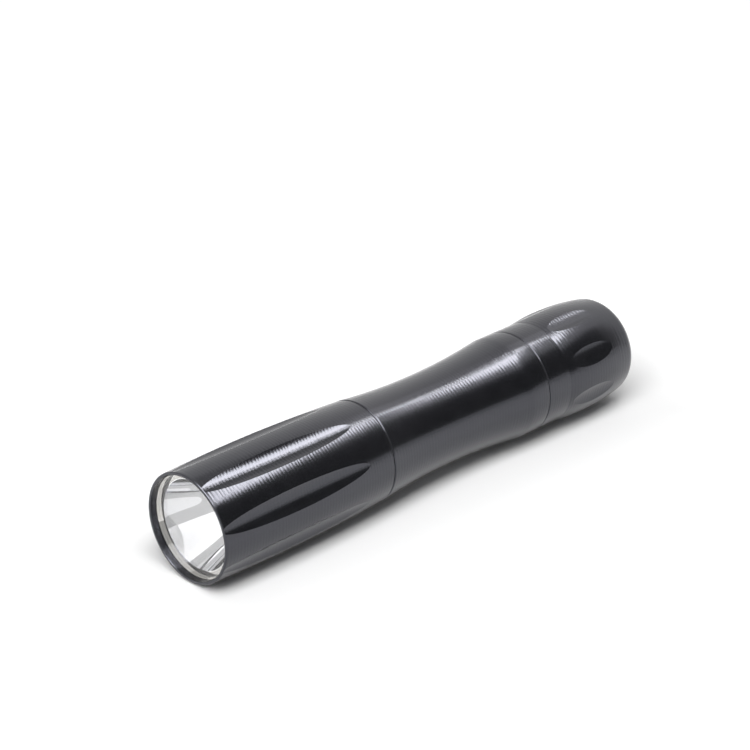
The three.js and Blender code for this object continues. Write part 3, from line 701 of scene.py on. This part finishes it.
FINISHES = {
    "black_anodised": black_anodised(),
    "clear_lens": clear_lens(),
    "clear_dome": clear_dome(),
    "mirror_reflector": mirror_coat(),
    "black_rubber": black_rubber(),
    "white_plastic": moulded_plastic("white_plastic", (0.78, 0.78, 0.76), (0.86, 0.86, 0.84), 0.5),
    "led_body": moulded_plastic("led_body", (0.72, 0.68, 0.56), (0.82, 0.78, 0.66), 0.45),
    "led_phosphor": moulded_plastic("led_phosphor", (0.85, 0.62, 0.08), (0.92, 0.72, 0.14), 0.2),
    "white_board": moulded_plastic("white_board", (0.74, 0.75, 0.75), (0.84, 0.85, 0.85), 0.4),
    "bare_aluminium": turned_metal("bare_aluminium", (0.58, 0.59, 0.6), (0.7, 0.71, 0.72), 0.32),
    "red_wire": moulded_plastic("red_wire", (0.42, 0.02, 0.015), (0.5, 0.03, 0.02), 0.5),
    "black_wire": moulded_plastic("black_wire", (0.012, 0.012, 0.013), (0.02, 0.02, 0.021), 0.5),
    "green_board": moulded_plastic("green_board", (0.01, 0.09, 0.03), (0.02, 0.14, 0.05), 0.35),
    "black_plastic": moulded_plastic("black_plastic", (0.015, 0.015, 0.017), (0.025, 0.025, 0.027), 0.45),
    "ferrite": moulded_plastic("ferrite", (0.03, 0.032, 0.035), (0.055, 0.056, 0.06), 0.6),
    "brass": turned_metal("brass", (0.68, 0.47, 0.14), (0.8, 0.58, 0.2), 0.26),
    "cell_metal": turned_metal("cell_metal", (0.6, 0.61, 0.62), (0.72, 0.73, 0.74), 0.28),
    "cell_print": moulded_plastic("cell_print", (0.03, 0.1, 0.24), (0.05, 0.14, 0.3), 0.3),
    "spring_steel": turned_metal("spring_steel", (0.6, 0.6, 0.61), (0.72, 0.72, 0.73), 0.2),
    "ivory_plastic": moulded_plastic("ivory_plastic", (0.72, 0.69, 0.6), (0.8, 0.77, 0.68), 0.45),
}


def finish_nodes():
    """Every solid that stays takes the finish of its own slot."""
    for part in frame["record"]["subparts"]:
        slots = frame["nodes"][part["node"]].data.materials
        slots.clear()
        slots.append(FINISHES[part["material_slot"]])


# Shells

def fluted(name, profile, flutes, crest, middle, tree):
    """A turned shell with leaf-shaped flutes cut round it."""
    per_flute = FLUTE_COLUMNS + RIDGE_COLUMNS
    columns = flutes["count"] * per_flute
    piece = blank(name, profile, columns)
    turn = piece.data.attributes.new("turn", "FLOAT", "POINT")
    turn.data.foreach_set("value", [c / per_flute for _ in profile for c in range(columns)])
    sizes = {
        "Flutes": flutes["count"],
        "First angle": math.radians(flutes["first"]),
        "Cutter": flutes["cutter"] * MM,
        "Offset": crest + (flutes["cutter"] - flutes["depth"]) * MM,
        "Swell": flutes["swell"] * MM,
        "Middle": middle,
        "Axis height": AXIS_Z,
        "Flute share": FLUTE_COLUMNS / per_flute,
        "Finish": FINISHES["black_anodised"],
    }
    shaped(piece, tree, sizes, FLUTE_CREASE)
    piece.data.attributes.remove(piece.data.attributes["turn"])
    return piece


def head_shell(tree):
    front, rear, _ = reach("head_shell")
    _, seal_rear, _ = reach("reflector_seal")
    _, pill_rear, _ = reach("led_pill")
    outer = HEAD_FRONT_RADIUS
    back = THREAD_BORE + REAR_WALL
    neck = MOUTH_RADIUS + NECK_WALL + NECK_ROOM
    ledge = pill_rear - PILL_LEDGE
    lip_face = (front, outer - LIP_EDGE)
    lip_top = (front + LIP_EDGE, outer)
    rear_edge = (rear - SEAM_EDGE, back)
    profile = [
        (front, LIP_BORE + LIP_CHAMFER),
        lip_face,
        *rounded(lip_face, lip_top),
        *arc(lip_top, rear_edge, HEAD_CROWN, HEAD_ROWS),
        *rounded(rear_edge, (rear, back - SEAM_EDGE)),
        (rear, THREAD_BORE),
        (ledge, THREAD_BORE),
        (ledge, neck),
        (seal_rear, neck),
        (seal_rear, LIP_BORE),
        (front + LIP_CHAMFER, LIP_BORE),
    ]
    crest = (outer + back) / 2 + HEAD_CROWN
    middle = FRONT + HEAD_FLUTES["middle"] * MM
    return fluted("head_shell_fluted", profile, HEAD_FLUTES, crest, middle, tree)


def tail_cap(tree):
    front, rear, _ = reach("tail_cap")
    _, board_rear, _ = reach("switch_board")
    _, _, band = reach("body_tube")
    bulb = front + CAP_BAND
    edge_start = (
        rear - TAIL_EDGE + TAIL_EDGE * math.sin(TAIL_EDGE_START),
        TAIL_FACE_RADIUS + TAIL_EDGE * math.cos(TAIL_EDGE_START),
    )
    edge_rise = TAIL_EDGE * (1 - math.cos((math.pi / 2 - TAIL_EDGE_START) / 2))
    dish_top = (rear, BUTTON_HOLE + DISH_WIDTH)
    dish_foot = (rear - DISH_DEPTH, BUTTON_HOLE)
    profile = [
        (front, THREAD_BORE),
        (front, band - SEAM_EDGE),
        *rounded((front, band - SEAM_EDGE), (front + SEAM_EDGE, band)),
        (bulb, band),
        *arc((bulb, band), edge_start, BULB_CROWN, BULB_ROWS),
        *arc(edge_start, (rear, TAIL_FACE_RADIUS), edge_rise, TAIL_EDGE_ROWS),
        dish_top,
        *arc(dish_top, dish_foot, DISH_BULGE, DISH_ROWS),
        (rear - END_WALL, BUTTON_HOLE),
        (rear - END_WALL, CHAMBER_RADIUS),
        (board_rear, CHAMBER_RADIUS),
        (board_rear, THREAD_BORE),
    ]
    crest = (band + edge_start[1]) / 2 + BULB_CROWN
    middle = bulb + TAIL_FLUTES["middle"] * MM
    return fluted("tail_cap_fluted", profile, TAIL_FLUTES, crest, middle, tree)


def body_tube():
    front, rear, band = reach("body_tube")
    shoulder = front + FRONT_SPIGOT
    band_rear = rear - REAR_SPIGOT
    back = THREAD_BORE + REAR_WALL
    core = SPIGOT_RADIUS + THREAD_ROOM - THREAD_HEIGHT
    groove_root = SPIGOT_RADIUS - GROOVE_DEPTH
    waist_front = (shoulder + SEAM_EDGE, back)
    waist_rear = (band_rear - BAND_LENGTH, band)
    front_groove = shoulder - GROOVE_SETBACK - GROOVE_WIDTH
    rear_groove = band_rear + GROOVE_SETBACK
    front_collar = front_groove - THREAD_COLLAR
    rear_collar = rear_groove + GROOVE_WIDTH + THREAD_COLLAR
    profile = [
        (front, CELL_BORE),
        (front, core - SPIGOT_CHAMFER),
        (front + SPIGOT_CHAMFER, core),
        (front_collar, core),
        (front_collar, SPIGOT_RADIUS),
        (front_groove, SPIGOT_RADIUS),
        (front_groove, groove_root),
        (front_groove + GROOVE_WIDTH, groove_root),
        (front_groove + GROOVE_WIDTH, SPIGOT_RADIUS),
        (shoulder, SPIGOT_RADIUS),
        (shoulder, back - SEAM_EDGE),
        *rounded((shoulder, back - SEAM_EDGE), waist_front),
        *arc(waist_front, waist_rear, WAIST_RADIUS - (back + band) / 2, WAIST_ROWS),
        (band_rear - SEAM_EDGE, band),
        *rounded((band_rear - SEAM_EDGE, band), (band_rear, band - SEAM_EDGE)),
        (band_rear, SPIGOT_RADIUS),
        (rear_groove, SPIGOT_RADIUS),
        (rear_groove, groove_root),
        (rear_groove + GROOVE_WIDTH, groove_root),
        (rear_groove + GROOVE_WIDTH, SPIGOT_RADIUS),
        (rear_collar, SPIGOT_RADIUS),
        (rear_collar, core),
        (rear - SPIGOT_CHAMFER, core),
        (rear, core - SPIGOT_CHAMFER),
        (rear, CELL_BORE),
    ]
    tube = turned("body_tube_turned", profile, FINISHES["black_anodised"])
    spans = [
        ("front_thread", front + SPIGOT_CHAMFER, front_collar),
        ("rear_thread", rear_collar, rear - SPIGOT_CHAMFER),
    ]
    return tube, spans, core


def screw_thread(name, start, end, core, tree):
    """A thread ridge between two stations of a spigot."""
    inset = THREAD_PITCH / 2
    sizes = {
        "Pitch": THREAD_PITCH,
        "Turns": (end - start - 2 * inset) / THREAD_PITCH,
        "Root": core,
        "Height": THREAD_HEIGHT,
        "Start": start + inset,
        "Axis height": AXIS_Z,
        "Steps": THREAD_STEPS,
        "Finish": FINISHES["black_anodised"],
    }
    return shaped(linked(name), tree, sizes, CREASE)


# Lens and reflector

def lens():
    front, rear, _ = reach("lens")
    front += LENS_SETBACK
    radius = LIP_BORE - LENS_ROOM
    rear += LENS_ROOM
    profile = softened([(front, 0), (front, radius), (rear, radius), (rear, 0)], LENS_ROOM / 4)
    return turned("lens_disc", profile, FINISHES["clear_lens"], crease=FLAT_CREASE)


def reflector():
    front, rear, _ = reach("reflector")
    flange = LIP_BORE - LENS_ROOM
    vertex = front + MOUTH_RADIUS ** 2 / (4 * FOCAL_LENGTH)
    neck = MOUTH_RADIUS + NECK_WALL

    def station(radius):
        return vertex - radius ** 2 / (4 * FOCAL_LENGTH)

    def bowl(begin, end, wall):
        radii = [begin + (end - begin) * i / BOWL_ROWS for i in range(BOWL_ROWS + 1)]
        return [(station(r), r + wall) for r in radii]

    profile = [
        (front, flange),
        (front + FLANGE_THICKNESS, flange),
        (front + FLANGE_THICKNESS, neck),
        *bowl(neck - BOWL_WALL, BASE_HOLE, BOWL_WALL),
        (rear, BASE_HOLE + BOWL_WALL),
        (rear, BASE_HOLE),
        *bowl(BASE_HOLE, MOUTH_RADIUS, 0),
    ]
    return turned("reflector_bowl", profile, FINISHES["mirror_reflector"])


def seal_ring(name, node, radius=None):
    """A round rubber ring at its node's station, on its node's radius or another."""
    front, rear, outer = reach(node)
    section = (rear - front) / 2
    profile = round_section((front + rear) / 2, radius or outer - section, section)
    return turned(name, profile, FINISHES["black_rubber"], SMALL_COLUMNS)


# Light source

def bevelled_block(name, node, bevel, finish):
    """A block in a node's box with softened edges."""
    low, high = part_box(node)
    mesh = bpy.data.meshes.new(name)
    work = bmesh.new()
    bmesh.ops.create_cube(work, size=1.0)
    for vertex in work.verts:
        vertex.co = Vector(low[i] + (vertex.co[i] + 0.5) * (high[i] - low[i]) for i in range(3))
    bmesh.ops.bevel(work, geom=work.edges[:], offset=bevel, segments=3, affect="EDGES")
    work.to_mesh(mesh)
    work.free()
    close_up(mesh, CREASE)
    mesh.materials.append(finish)
    return linked(name, mesh)


def led_dome():
    """A clear dome over the light source, and the phosphor tile under it."""
    front, rear, radius = reach("led_dome")
    angles = [math.pi / 2 * i / DOME_ROWS for i in range(DOME_ROWS + 1)]
    curve = [(rear - (rear - front) * math.sin(a), radius * math.cos(a)) for a in angles[:-1]]
    dome = turned("led_clear_dome", [(rear, 0), *curve, (front, 0)], FINISHES["clear_dome"], SMALL_COLUMNS)
    tile = bpy.data.meshes.new("led_phosphor_tile")
    work = bmesh.new()
    bmesh.ops.create_cube(work, size=1.0)
    for vertex in work.verts:
        x = rear - (vertex.co.x + 0.5) * PHOSPHOR_THICKNESS - PHOSPHOR_ROOM
        vertex.co = Vector((x, vertex.co.y * PHOSPHOR_SIDE, AXIS_Z + vertex.co.z * PHOSPHOR_SIDE))
    work.to_mesh(tile)
    work.free()
    close_up(tile, CREASE)
    tile.materials.append(FINISHES["led_phosphor"])
    return dome, linked(tile.name, tile)


# Switch

def switch_boot():
    """Rubber skin of the button, clamped at its flange, and the boss inside it that meets the plunger."""
    front, crown_top, flange = reach("switch_boot")
    _, plunger_rear, _ = reach("switch_plunger")
    flange_rear = front + BOOT_FLANGE
    button = BUTTON_HOLE - BUTTON_ROOM
    side = crown_top - BOOT_CROWN
    ceiling = side - BOOT_WALL
    crown_radius = (button ** 2 + BOOT_CROWN ** 2) / (2 * BOOT_CROWN)
    rise = crown_radius * (1 - math.cos(math.asin(button / crown_radius) / 2))
    crown = arc((side, button), (crown_top, 0), rise, BOOT_ROWS)
    corner = [(flange_rear, button), (side, button), crown[1]]
    rim = softened(corner, BOOT_EDGE, RIM_STEPS)[RIM_STEPS + 1:2 * RIM_STEPS + 2]
    skin_profile = [
        (ceiling, 0),
        (ceiling, button - BOOT_WALL),
        (front, button - BOOT_WALL),
        (front, flange),
        (flange_rear, flange),
        (flange_rear, button),
        *rim,
        *crown[2:-1],
        (crown_top, 0),
    ]
    skin = turned("switch_boot_skin", skin_profile, FINISHES["black_rubber"], SMALL_COLUMNS)
    boss_profile = softened([
        (plunger_rear + PLUNGER_ROOM, 0),
        (plunger_rear + PLUNGER_ROOM, BOOT_BOSS),
        (ceiling, BOOT_BOSS),
        (ceiling, 0),
    ], SOFT_EDGE)
    boss = turned("switch_boot_boss", boss_profile, FINISHES["black_rubber"], SMALL_COLUMNS)
    return skin, boss, flange_rear, side


def wound_spring(name, node, coil, tree):
    """A spring of round wire between the ends of its node."""
    front, rear, _ = reach(node)
    sizes = {
        **coil,
        "Length": rear - front - 2 * coil["Wire"],
        "Flat turns": FLAT_TURNS,
        "Start": front + coil["Wire"],
        "Axis height": AXIS_Z,
        "Finish": FINISHES["spring_steel"],
    }
    return shaped(linked(name), tree, sizes, CREASE)


# Studio

def camera():
    data = bpy.data.cameras.new("camera")
    data.sensor_width = SENSOR_WIDTH
    data.lens = CAMERA_LENS
    data.clip_start = CAMERA_NEAR
    eye = bpy.data.objects.new("camera", data)
    eye.location = CAMERA_PLACE
    eye.rotation_euler = (math.radians(90 - CAMERA_TILT), 0, math.radians(-CAMERA_HEADING))
    bpy.context.scene.collection.objects.link(eye)
    bpy.context.scene.camera = eye


def seen_rays(nodes):
    """One for what the camera, the gloss and the clear pieces see, and zero for diffuse light."""
    path = nodes.add("ShaderNodeLightPath").outputs
    seen = nodes.math("MAXIMUM", path["Is Camera Ray"], path["Is Glossy Ray"])
    return nodes.math("MAXIMUM", seen, path["Is Transmission Ray"])


def sheet_of(name, corners, material):
    mesh = bpy.data.meshes.new(name)
    mesh.from_pydata(corners, [], [range(len(corners))])
    mesh.materials.append(material)
    card = linked(name, mesh)
    return card


def floor():
    """Pale floor, which turns plain white to the camera, gloss and glass away from the object's shadow."""
    material = bpy.data.materials.new("pale_floor")
    material.use_nodes = True
    nodes = Nodes(material.node_tree)
    shader = nodes.tree.nodes["Principled BSDF"]
    shader.inputs["Base Color"].default_value = (FLOOR_GREY, FLOOR_GREY, FLOOR_GREY, 1)
    shader.inputs["Roughness"].default_value = FLOOR_ROUGHNESS
    shader.inputs["Specular IOR Level"].default_value = 0.0
    spot = nodes.add("ShaderNodeSeparateXYZ", {0: nodes.add("ShaderNodeTexCoord").outputs["Object"]})
    beside = nodes.math("ABSOLUTE", spot.outputs["Y"])
    beyond = nodes.math("SUBTRACT", nodes.math("ABSOLUTE", spot.outputs["X"]), TAIL - AXIS_Z)
    away = nodes.add("ShaderNodeMapRange", {
        "Value": nodes.math("MAXIMUM", beside, beyond),
        "From Min": SHADOW_REACH,
        "From Max": WHITE_REACH,
        "To Max": FLOOR_WHITE,
    }, interpolation_type="SMOOTHSTEP").outputs[0]
    glow = nodes.add("ShaderNodeEmission", {"Strength": nodes.math("MULTIPLY", away, seen_rays(nodes))})
    both = nodes.add("ShaderNodeAddShader", {0: shader.outputs[0], 1: glow.outputs[0]})
    nodes.tree.links.new(both.outputs[0], nodes.tree.nodes["Material Output"].inputs["Surface"])
    signs = [(-1, -1), (1, -1), (1, 1), (-1, 1)]
    sheet_of("floor", [(x * FLOOR_HALF, y * FLOOR_HALF, 0) for x, y in signs], material)


def glow_card(name, strength, corners):
    """A card of one brightness, which only the object's gloss sees unless its maker opens it to more."""
    material = bpy.data.materials.new(name)
    material.use_nodes = True
    nodes = Nodes(material.node_tree)
    glow = nodes.add("ShaderNodeEmission", {"Color": (1, 1, 1, 1), "Strength": strength})
    nodes.tree.links.new(glow.outputs[0], nodes.tree.nodes["Material Output"].inputs["Surface"])
    card = sheet_of(name, corners, material)
    card.visible_camera = False
    card.visible_transmission = False
    card.visible_diffuse = False
    card.visible_shadow = False
    return card


def dark_card():
    """A dark wall on the camera's right, which also keeps the sky off the floor there."""
    distance = 1.2
    outline = [(-1.0, 0.115), (0.35, 0.115), (0.9, 1.25), (-1.0, 1.25)]
    toward = Vector((0.67, -0.74, 0)).normalized()
    across = Vector((-toward.y, toward.x, 0))
    corners = [toward * distance + across * side + Vector((0, 0, height)) for side, height in outline]
    card = glow_card("dark_wall", DARK_WALL, corners)
    card.visible_diffuse = True


def grey_walls():
    """Grey walls round the front, from the floor up, which the reflector shows as bands."""
    distance, half_turn, top = 1.4, math.radians(22), math.radians(40)
    for facing in (-53, -9, 35):
        turn = math.radians(facing)
        toward = Vector((-math.cos(turn), math.sin(turn), 0)) * distance
        across = Vector((toward.y, -toward.x, 0)) * math.tan(half_turn)
        rise = Vector((0, 0, distance * math.tan(top)))
        corners = [toward - across, toward + across, toward + across + rise, toward - across + rise]
        glow_card(f"grey_wall_{facing}", GREY_WALL, corners).visible_transmission = True


def overhead_cards():
    for name, (brightness, lift, outline) in OVERHEAD_CARDS.items():
        height = CARD_HEIGHT + AXIS_Z + lift
        glow_card(name, brightness, [(x, y, height) for x, y in outline])


def soft_box(name, centre, along, size, power):
    """A light panel facing the object, with its length along a direction."""
    data = bpy.data.lights.new(name, "AREA")
    data.shape = "RECTANGLE"
    data.size, data.size_y = size
    data.energy = power
    lamp = bpy.data.objects.new(name, data)
    back = (Vector(centre) - Vector((0, 0, AXIS_Z))).normalized()
    length = Vector(along)
    length = (length - back * length.dot(back)).normalized()
    turn = Matrix((length.cross(back), length, back)).transposed()
    lamp.matrix_world = Matrix.Translation(centre) @ turn.to_4x4()
    lamp.visible_camera = False
    lamp.visible_glossy = False
    lamp.visible_transmission = False
    bpy.context.scene.collection.objects.link(lamp)


def world():
    """White for what the camera, the gloss and the clear pieces see, and softer light for the rest."""
    sky = bpy.data.worlds.new("studio")
    sky.use_nodes = True
    bpy.context.scene.world = sky
    nodes = Nodes(sky.node_tree)
    sky.node_tree.nodes.clear()
    inputs = {"Value": seen_rays(nodes), "To Min": SKY_LIGHT, "To Max": SKY_SEEN}
    strength = nodes.add("ShaderNodeMapRange", inputs)
    glow = nodes.add("ShaderNodeBackground", {"Color": (1, 1, 1, 1), "Strength": strength.outputs[0]})
    nodes.add("ShaderNodeOutputWorld", {"Surface": glow.outputs[0]})


def build():
    finish_nodes()
    flutes = flute_tree()
    threads = thread_tree()
    dressed(head_shell(flutes), "head", "black_anodised", "head_shell")
    dressed(tail_cap(flutes), "cap", "black_anodised", "tail_cap")
    tube, spans, core = body_tube()
    dressed(tube, "barrel", "black_anodised", "body_tube")
    for name, start, end in spans:
        dressed(screw_thread(name, start, end, core, threads), "barrel", "black_anodised")
    dressed(lens(), "head", "clear_lens", "lens")
    dressed(reflector(), "head", "mirror_reflector", "reflector")
    under_flange = (LIP_BORE + MOUTH_RADIUS + NECK_WALL) / 2
    flange_seal = seal_ring("reflector_seal_ring", "reflector_seal", under_flange)
    dressed(flange_seal, "head_carrier", "black_rubber", "reflector_seal")
    dressed(seal_ring("head_seal_ring", "head_oring"), "barrel", "black_rubber", "head_oring")
    dressed(seal_ring("tail_seal_ring", "tail_oring"), "barrel", "black_rubber", "tail_oring")
    package = bevelled_block("led_package_block", "led_package", PACKAGE_EDGE, FINISHES["led_body"])
    dressed(package, "head", "led_body", "led_package")
    dome, tile = led_dome()
    dressed(dome, "head", "led_phosphor", "led_dome")
    dressed(tile, "head", "led_phosphor")
    chip = bevelled_block("driver_chip_block", "driver_chip", SOFT_EDGE, FINISHES["black_plastic"])
    dressed(chip, "head", "black_plastic", "driver_chip")

    # The boot, with its boss on the button, and the springs
    skin, boss, flange_rear, crown_side = switch_boot()
    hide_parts("switch_boot")
    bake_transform(skin)
    dressed(boss, "button", "black_rubber")
    springs = spring_tree()
    contact = wound_spring("tail_spring", "tail_contact_spring", TAIL_COIL, springs)
    sprung(contact, "tail_contact_spring")
    lift = wound_spring("button_spring", "switch_return_spring", RETURN_COIL, springs)
    sprung(lift, "switch_return_spring")


build()
camera()
floor()
dark_card()
grey_walls()
overhead_cards()
soft_box("overhead_panel", PANEL_PLACE, (1, 0, 0), PANEL_SIZE, PANEL_POWER)
world()
bpy.context.scene.view_settings.view_transform = "Standard"
